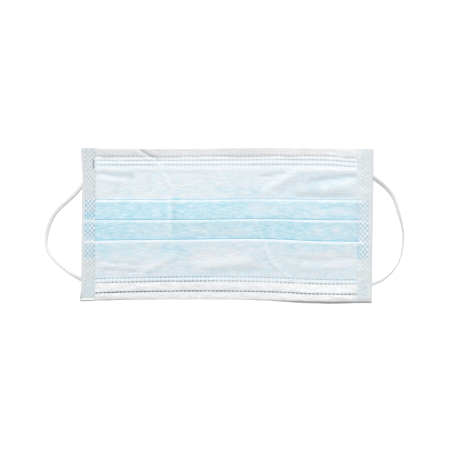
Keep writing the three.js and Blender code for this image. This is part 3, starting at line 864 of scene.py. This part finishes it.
def tape_shades(side, to_inner, inward, y, dots, pits):
    """The shades of a tape. The right one is sheer along its inner edge."""
    left = side < 0
    above = ramp(y - FIRST_FOLD_Y, MM)
    below = ramp(LAST_FOLD_Y - y, 3 * MM)
    uneven = 0.75 + 0.6 * noise(inward, y, 2.6, 3.4, 81 + side)
    if left:
        sheer = 0 * inward
        strength, pit_share, fade = 1.0, 1.35, 0.25
        folds, fold_reach = EDGE_YS[1:], 1
    else:
        sheer = ramp(to_inner + SHEER_START, SHEER_REACH)
        strength, pit_share, fade = 0.62 + 0.3 * sheer, 1 - 0.8 * sheer, 0.45
        folds, fold_reach = EDGE_YS, ramp(to_inner + 5 * MM, 3 * MM)
        uneven = uneven + 0.35 * noise(inward, y, 1.9, 1.7, 93)
    margin = PLAIN_MARGIN - (LEFT_DOTS_SHIFT if left else 0)
    inset = ramp(inward - margin, 1.2 * MM)
    # Painted highlights along the pleats' fold edges under the tape
    fold_highlights = at_folds(y, folds, 0.1 * MM, 0.75 * MM)
    # Painted shadows beside the pleats' edges, seen through the right tape's sheer edge
    fold_shadows = at_folds(y, EDGE_YS, 1.0 * MM, 0.35 * MM)
    tint, shows = tape_tint(side, inward, y, strength, fold_highlights)
    marked = (1 - 0.6 * below) * (uneven * (1 - fade * above))
    # The left tape's turned nose end is painted lighter: a painted highlight
    nose_end = ramp(NOSE_Y + 1.8 * MM - y, 0.8 * MM) * left
    return {
        "tint": tint * inset + 0.05 * sheer,
        "dot": np.clip(dots * marked * (0.75 + 0.25 * shows) * (1 - 0.8 * sheer), 0, 1),
        # Dark pits between the weld points, partly their painted shade, with the painted fold shadows
        "pit_and_fold_shade": np.clip(pits * marked * inset * pit_share + fold_shadows * sheer, 0, 1),
        "grey": 1 + 0.4 * above if left else 0.45 - 0.6 * sheer,
        "margin": 1 - ramp(inward - margin, 0.8 * MM),
        "pale": np.clip(1.6 * nose_end + 0.8 * fold_highlights * shows * fold_reach * inset, 0, 1.6),
        # Painted shadows on the left tape
        "slit_shadow": left_edge_shadows(to_inner, inward, y) * left,
    }


# Painted shadows at the left tape's loose stretch and at the loop's nose end
def left_edge_shadows(to_inner, inward, y):
    """The left tape's loose stretch, and the dark spot where the loop's nose end comes out."""
    slit_shadow = hump(to_inner + 1.1 * MM, 0.4 * MM) * ramp(3.2 * MM - np.abs(y - SLIT_Y), MM)
    loop_end_shadow = hump(inward - 0.4 * MM, 0.45 * MM) * hump(y - LOOP_END_Y, 2.6 * MM)
    return np.clip(slit_shadow + 0.7 * loop_end_shadow, 0, 1)


def make_tape(name, side):
    """A binding tape folded round a side edge: side is -1 on the left and 1 on the right."""
    width, dots_shift = (LEFT_BINDING_WIDTH, LEFT_DOTS_SHIFT) if side < 0 else (BINDING_WIDTH, 0)
    ys = np.arange(CHIN_Y + BINDING_OVERHANG, NOSE_Y - BINDING_OVERHANG, -0.36 * MM)
    inward, level, on_front = tape_profile(ys, width)
    y = ys[None, :]
    dots = dot_field(inward + dots_shift, y) * on_front
    pits = dot_field(inward + dots_shift, y, 0.5) * on_front
    waves = 0.08 * MM * layered_noise(inward, y, 6, 9, 41 + side, 2) * on_front
    relief = waves - DOT_DEPTH * dots
    x = side * (HALF_WIDTH - inward)
    nx, nz = (-side * normal for normal in profile_normals(x, level))
    thin = 0.25 + 0.75 * ramp(width - inward, 1.2 * MM)
    half = TAPE_THICKNESS / 2 * np.where(on_front > 0, thin, 1)
    level = level - TAPE_THICKNESS / 2 + half
    lowest = 0.01 * MM
    front = drape(x + nx * (half + relief), y, level + nz * (half + relief), tape_lift, lowest)
    back = drape(x - nx * (half - relief), y, level - nz * (half - relief), tape_lift, lowest)
    shades = tape_shades(side, inward - width, inward, y, dots, pits)
    if side > 0:
        front, back = front[:, ::-1], back[:, ::-1]
        shades = {key: shade[:, ::-1] for key, shade in shades.items()}
    return closed_cloth(name, front, back, shades, ["tape_cloth"])


# Ear loops

def mixed(a, b, start, end, t):
    return (end - t) / (end - start) * a + (t - start) / (end - start) * b


def smooth_route(points, step):
    """Evenly spaced points on a centripetal Catmull-Rom curve, and its length."""
    points = np.array(points, float) * MM
    first = 2 * points[0] - points[1]
    last = 2 * points[-1] - points[-2]
    knots = np.vstack([first, points, last])
    curve = []
    for p0, p1, p2, p3 in zip(knots, knots[1:], knots[2:], knots[3:]):
        chords = np.linalg.norm([p1 - p0, p2 - p1, p3 - p2], axis=1)
        t1, t2, t3 = np.cumsum(np.sqrt(chords))
        for t in np.linspace(t1, t2, 24, endpoint=False):
            a1 = mixed(p0, p1, 0, t1, t)
            a2 = mixed(p1, p2, t1, t2, t)
            a3 = mixed(p2, p3, t2, t3, t)
            b1 = mixed(a1, a2, 0, t2, t)
            b2 = mixed(a2, a3, t1, t3, t)
            curve.append(mixed(b1, b2, t1, t2, t))
    curve = np.array([*curve, points[-1]])
    lengths = np.concatenate([[0], np.cumsum(np.linalg.norm(np.diff(curve, axis=0), axis=1))])
    even = np.linspace(0, lengths[-1], round(lengths[-1] / step) + 1)
    return np.stack([np.interp(even, lengths, curve[:, k]) for k in (0, 1)], 1), lengths[-1]


def flattened(values):
    """A round section's sines or cosines, pressed towards a rectangle."""
    return np.sign(values) * np.abs(values) ** 0.8


def loop_middle(path, twist):
    """The loop's middle line, which clears the floor, and its thickness along it."""
    out = ramp(np.abs(path[:, 0]) - HALF_WIDTH + 2 * MM, 6 * MM)
    thickness = WELDED_END_THICKNESS + (LOOP_THICKNESS - WELDED_END_THICKNESS) * out
    rise = (LOOP_WIDTH - LOOP_THICKNESS) / 2 * np.abs(np.sin(twist))
    return np.column_stack([path, LOOP_FLOOR_GAP + thickness / 2 + rise]), thickness


def loop_rings(centre, thickness, twist, along):
    """Rings of points round the middle line, with the elastic's ribs and knit."""
    tangent = np.gradient(centre[:, :2], axis=0)
    tangent /= np.linalg.norm(tangent, axis=1)[:, None]
    sideways = np.stack([tangent[:, 1], -tangent[:, 0], np.zeros(len(centre))], 1)
    angles = np.arange(LOOP_SIDES) * 2 * math.pi / LOOP_SIDES
    ribs = 1 - 0.07 * np.cos(LOOP_RIBS * angles)
    knit = 1 + 0.05 * np.cos(2 * math.pi * along[:, None] / KNIT_PITCH + KNIT_TURNS * angles)
    wide = LOOP_WIDTH / 2 * flattened(np.cos(angles)) * ribs * knit * 0.97
    thick = flattened(np.sin(angles)) * ribs * knit * (thickness / 2)[:, None] * 0.95
    cos, sin = np.cos(twist)[:, None], np.sin(twist)[:, None]
    across, upward = wide * cos - thick * sin, wide * sin + thick * cos
    points = centre[:, None, :] + across[..., None] * sideways[:, None, :]
    points[..., 2] += upward
    points[..., 2] = np.maximum(points[..., 2], 0.02 * MM)
    return points


def make_loop(name, route, twists, shades):
    """A flat knitted elastic along its route.

    twists gives (share of the length, degrees), and shades (share, how grey it is)."""
    path, length = smooth_route(route, LOOP_STEP)
    share = np.linspace(0, 1, len(path))
    twist = running_mean(np.radians(np.interp(share, *zip(*twists))), 12)
    centre, thickness = loop_middle(path, twist)
    points = loop_rings(centre, thickness, twist, share * length)
    vertices = np.concatenate([points.reshape(-1, 3), centre[:1], centre[-1:]])
    start = len(path) * LOOP_SIDES
    last_ring = start - LOOP_SIDES
    faces = ring_faces(len(path), LOOP_SIDES) + fan_faces(start, 0, LOOP_SIDES)
    faces += [face[::-1] for face in fan_faces(start + 1, last_ring, LOOP_SIDES)]
    piece = add_mesh(name, vertices.tolist(), faces, ["loop_yarn"])
    # Painted shade along each loop: greyer and lighter stretches
    shade = np.interp(share, *zip(*shades))
    shade = np.concatenate([np.repeat(shade, LOOP_SIDES), shade[:1], shade[-1:]])
    set_attribute(piece.data, "shade", shade)
    return piece, centre, length


# Materials

def link(tree, source, target):
    tree.links.new(source, target)


def noise_node(tree, size, detail, stretch=(1, 1, 1)):
    """Noise in object space, in cells of a size, stretched along the axes."""
    nodes = tree.nodes
    place = nodes.new("ShaderNodeTexCoord")
    mapping = nodes.new("ShaderNodeMapping")
    mapping.inputs["Scale"].default_value = stretch
    texture = nodes.new("ShaderNodeTexNoise")
    texture.inputs["Scale"].default_value = 1 / size
    texture.inputs["Detail"].default_value = detail
    texture.inputs["Roughness"].default_value = 0.6
    link(tree, place.outputs["Object"], mapping.inputs["Vector"])
    link(tree, mapping.outputs["Vector"], texture.inputs["Vector"])
    return texture.outputs["Fac"]


def spread(tree, value, low, high):
    """A value spread out, so that low becomes 0 and high becomes 1."""
    node = tree.nodes.new("ShaderNodeMapRange")
    node.inputs["From Min"].default_value = low
    node.inputs["From Max"].default_value = high
    link(tree, value, node.inputs["Value"])
    return node.outputs["Result"]


def math_node(tree, operation, a, b):
    node = tree.nodes.new("ShaderNodeMath")
    node.operation = operation
    for socket, value in zip(node.inputs, (a, b)):
        if isinstance(value, (int, float)):
            socket.default_value = value
        else:
            link(tree, value, socket)
    return node.outputs["Value"]


def weighted_sum(tree, parts, total=0.0):
    """The sum of (value, weight) pairs and a starting total."""
    for value, weight in parts:
        total = math_node(tree, "ADD", total, math_node(tree, "MULTIPLY", value, weight))
    return total


def attribute_node(tree, name):
    node = tree.nodes.new("ShaderNodeAttribute")
    node.attribute_name = name
    return node.outputs["Fac"]


def mix_node(tree, factor, a, b):
    """One colour mixed with another, each as a socket or as (red, green, blue)."""
    node = tree.nodes.new("ShaderNodeMix")
    node.data_type = "RGBA"
    link(tree, factor, node.inputs["Factor"])
    for socket, colour in ((node.inputs["A"], a), (node.inputs["B"], b)):
        if isinstance(colour, tuple):
            socket.default_value = (*colour, 1)
        else:
            link(tree, colour, socket)
    return node.outputs["Result"]


def lay_over(tree, colour, layers):
    """The colour with (attribute, strength, colour) layers over it."""
    for attribute, strength, over in layers:
        factor = math_node(tree, "MULTIPLY", attribute_node(tree, attribute), strength)
        colour = mix_node(tree, factor, colour, over)
    return colour


def add_bump(tree, shader, heights, distance, strength):
    """Bump from the sum of (value, weight) pairs."""
    bump = tree.nodes.new("ShaderNodeBump")
    bump.inputs["Strength"].default_value = strength
    bump.inputs["Distance"].default_value = distance
    link(tree, weighted_sum(tree, heights), bump.inputs["Height"])
    link(tree, bump.outputs["Normal"], shader.inputs["Normal"])


def cloth_textures(tree):
    """Clouds, streaks along the pleats and grain of a spunbond cloth, each from 0 to 1."""
    clouds = spread(tree, noise_node(tree, 7 * MM, 4, (1, 2.2, 0)), 0.34, 0.66)
    streaks = spread(tree, noise_node(tree, 1.5 * MM, 3, (0.3, 1.1, 0)), 0.32, 0.68)
    grain = spread(tree, noise_node(tree, 0.75 * MM, 3, (0.8, 1, 0)), 0.3, 0.7)
    return clouds, streaks, grain


def new_material(name, roughness, sheen):
    material = bpy.data.materials.new(name)
    material.use_nodes = True
    shader = material.node_tree.nodes["Principled BSDF"]
    shader.inputs["Roughness"].default_value = roughness
    shader.inputs["Sheen Weight"].default_value = sheen
    shader.inputs["Sheen Roughness"].default_value = 0.6
    shader.inputs["Specular IOR Level"].default_value = 0.25
    return material, shader


def paint_sheet(tree):
    pale = (0.635, 0.66, 0.69)
    blue = (0.28, 0.59, 0.71)
    # The deep blue of the painted shadow above each pleat's edge
    tuck_shadow_blue = (0.13, 0.41, 0.56)
    # The colour of the welds: partly their melted film, partly painted shade
    weld = (0.24, 0.37, 0.44)
    # The colour of the painted shade in the creases' valleys
    crease_shade = (0.34, 0.46, 0.52)
    # bright: the paler fibres of the cloth, and the colour of the painted highlights
    bright = (0.82, 0.84, 0.855)
    clouds, streaks, grain = cloth_textures(tree)
    tint = attribute_node(tree, "tint")
    parts = ((tint, 0.9), (clouds, 0.55), (streaks, 0.55), (grain, 0.55))
    blueness = weighted_sum(tree, parts, -0.76)
    colour = mix_node(tree, blueness, pale, blue)
    light = weighted_sum(tree, ((streaks, 0.50), (grain, 0.62)), -0.2)
    colour = mix_node(tree, light, colour, bright)
    layers = (
        # Painted shade in the creases' valleys
        ("crease_shade", 0.42, crease_shade),
        # Painted highlight on the puffs, gathers and crease ridges
        ("puff", 0.72, bright),
        # Painted shadow above each pleat's edge
        ("tuck_shadow", 0.85, tuck_shadow_blue),
        # Weld lines: partly their melted film, partly painted shade
        ("weld", 0.6, weld),
        # Painted highlight along each pleat's fold edge
        ("fold", 0.75, bright),
    )
    return lay_over(tree, colour, layers), ((streaks, 0.7), (grain, 0.6))


def paint_white(tree, weights, start, dark, pale, layers):
    """White cloth between a dark and a pale tone, by the weights of its clouds, streaks and grain."""
    clouds, streaks, grain = cloth_textures(tree)
    light = weighted_sum(tree, zip((clouds, streaks, grain), weights), start)
    colour = lay_over(tree, mix_node(tree, light, dark, pale), layers)
    return colour, ((streaks, 0.7), (grain, 0.6))


def paint_inner(tree):
    return paint_white(tree, (0.3, 0.4, 0.3), 0.0, (0.62, 0.64, 0.65), (0.76, 0.77, 0.78), ())


def paint_hem(tree):
    layers = (
        # Painted shade greying the chin hem
        ("grey", 0.45, (0.57, 0.59, 0.61)),
        # Painted shade in the creases' valleys
        ("crease_shade", 0.6, (0.30, 0.32, 0.35)),
        # Weld lines: partly their melted film, partly painted shade
        ("weld", 1.0, (0.11, 0.18, 0.22)),
    )
    dark, pale = (0.60, 0.605, 0.615), (0.90, 0.905, 0.915)
    return paint_white(tree, (0.25, 0.35, 0.5), -0.05, dark, pale, layers)


def paint_tape(tree):
    shadow = (0.50, 0.54, 0.56)
    cloth = (0.78, 0.81, 0.82)
    grey_pit = (0.30, 0.42, 0.47)
    blue_pit = (0.08, 0.33, 0.53)
    white = (0.92, 0.93, 0.93)
    clouds, streaks, grain = cloth_textures(tree)
    light = weighted_sum(tree, ((clouds, 0.35), (streaks, 0.3), (grain, 0.45)))
    # The colour of the pits, partly painted shade, and of the painted fold shadows
    pit_and_fold_shade = mix_node(tree, attribute_node(tree, "tint"), grey_pit, blue_pit)
    layers = (
        ("grey", 0.40, shadow),
        ("tint", 0.62, (0.27, 0.53, 0.66)),
        ("margin", 0.7, (0.62, 0.64, 0.655)),
        # Pits, partly painted shade, and painted fold shadows
        ("pit_and_fold_shade", 0.68, pit_and_fold_shade),
        # Painted highlights on the fold edges and on the left tape's turned nose end
        ("pale", 0.55, white),
        ("dot", 0.95, white),
        # Painted shadow: the left tape's loose stretch and the loop's nose end
        ("slit_shadow", 0.9, (0.16, 0.20, 0.22)),
    )
    return lay_over(tree, mix_node(tree, light, shadow, cloth), layers), ((grain, 1.0),)


def paint_elastic(tree):
    fine = noise_node(tree, MM / 1.5, 3)
    light = mix_node(tree, fine, (0.76, 0.77, 0.77), (0.93, 0.93, 0.93))
    grey = mix_node(tree, fine, (0.40, 0.41, 0.42), (0.58, 0.58, 0.58))
    # The shade attribute paints shade along the loop, from light to grey
    return mix_node(tree, attribute_node(tree, "shade"), light, grey), ((fine, 1.0),)


# Each material: how it is painted, its roughness and sheen, and its bump's distance and strength
PAINTS = {
    "blue_cloth": (paint_sheet, 0.85, 0.15, 0.2 * MM, 0.8),
    "inner_cloth": (paint_inner, 0.85, 0.15, 0.2 * MM, 0.8),
    "hem_cloth": (paint_hem, 0.85, 0.15, 0.2 * MM, 0.8),
    "tape_cloth": (paint_tape, 0.8, 0.15, 0.12 * MM, 0.6),
    "loop_yarn": (paint_elastic, 0.75, 0.25, 0.1 * MM, 0.5),
}


def painted_material(name):
    """The material of a name, made once."""
    if name in bpy.data.materials:
        return bpy.data.materials[name]
    paint, roughness, sheen, distance, strength = PAINTS[name]
    material, shader = new_material(name, roughness, sheen)
    tree = material.node_tree
    colour, heights = paint(tree)
    link(tree, colour, shader.inputs["Base Color"])
    add_bump(tree, shader, heights, distance, strength)
    return material


def floor_material():
    material, shader = new_material("white_floor", 0.9, 0.0)
    shader.inputs["Base Color"].default_value = (0.93, 0.93, 0.93, 1)
    return material


# Stage

def make_camera():
    data = bpy.data.cameras.new("camera")
    data.sensor_width = SENSOR_WIDTH
    data.lens = SENSOR_WIDTH * CAMERA_HEIGHT / VIEW_SIZE
    data.clip_end = 10
    camera = add_object("camera", data)
    camera.location = (*VIEW_CENTRE, CAMERA_HEIGHT)
    bpy.context.scene.camera = camera


def make_floor():
    """A round floor that sweeps up into a low wall all round."""
    turn = np.linspace(0, math.pi / 2, 12)
    radii = [FLOOR_RADIUS / 2, *(FLOOR_RADIUS + SWEEP_RADIUS * np.sin(turn)), FLOOR_RADIUS + SWEEP_RADIUS]
    heights = [0, *(SWEEP_RADIUS - SWEEP_RADIUS * np.cos(turn)), WALL_HEIGHT]
    angles = np.arange(FLOOR_SIDES) * 2 * math.pi / FLOOR_SIDES
    vertices = [(0, 0, 0)]
    for radius, height in zip(radii, heights):
        vertices += [(radius * math.cos(a), radius * math.sin(a), height) for a in angles]
    faces = fan_faces(0, 1, FLOOR_SIDES) + ring_faces(len(radii), FLOOR_SIDES, 1)
    floor = add_mesh("floor", vertices, faces, [])
    floor.data.materials.append(floor_material())


def make_lights():
    world = bpy.data.worlds.new("studio")
    world.use_nodes = True
    background = world.node_tree.nodes["Background"]
    background.inputs["Color"].default_value = (1, 1, 1, 1)
    background.inputs["Strength"].default_value = ROOM_LIGHT
    bpy.context.scene.world = world
    data = bpy.data.lights.new("key", "AREA")
    data.shape = "RECTANGLE"
    data.size, data.size_y = KEY_SIZE
    data.energy = KEY_POWER
    lamp = add_object("key", data)
    lamp.location = KEY_PLACE
    lamp.rotation_mode = "QUATERNION"
    lamp.rotation_quaternion = (-Vector(KEY_PLACE)).to_track_quat("-Z", "Y")
    bpy.context.scene.view_settings.view_transform = "Standard"


make_camera()
left_loop, left_path, left_length = make_loop("left_loop", LEFT_LOOP_ROUTE, LEFT_TWISTS, LEFT_SHADES)
right_loop, right_path, right_length = make_loop(
    "right_loop", RIGHT_LOOP_ROUTE, RIGHT_TWISTS, RIGHT_SHADES
)
make_floor()
make_lights()
sheet = make_sheet()
chin_looks = (CHIN_HEM_LINES, [], CHIN_HEM_MARKS, CHIN_HEM_GAPS)
chin_hem = make_hem("chin_hem_cloth", CHIN_Y, 1, CHIN_HEM_WIDTH, *chin_looks)
nose_looks = (NOSE_HEM_LINES, NOSE_PUFFS, NOSE_HEM_MARKS, NOSE_HEM_GAPS)
nose_hem = make_hem("nose_hem_cloth", NOSE_Y, -1, NOSE_HEM_WIDTH, *nose_looks)
left_tape = make_tape("left_tape", -1)
right_tape = make_tape("right_tape", 1)

PIECES = (
    (sheet, "pleated_sheet", "blue_nonwoven"),
    (chin_hem, "chin_hem", "white_nonwoven"),
    (nose_hem, "nose_hem", "white_nonwoven"),
    (left_tape, "left_binding", "binding_nonwoven"),
    (right_tape, "right_binding", "binding_nonwoven"),
    (left_loop, "left_ear_loop", "white_elastic"),
    (right_loop, "right_ear_loop", "white_elastic"),
)
for piece, node, slot_name in PIECES:
    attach(piece, "root")
    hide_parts(node)
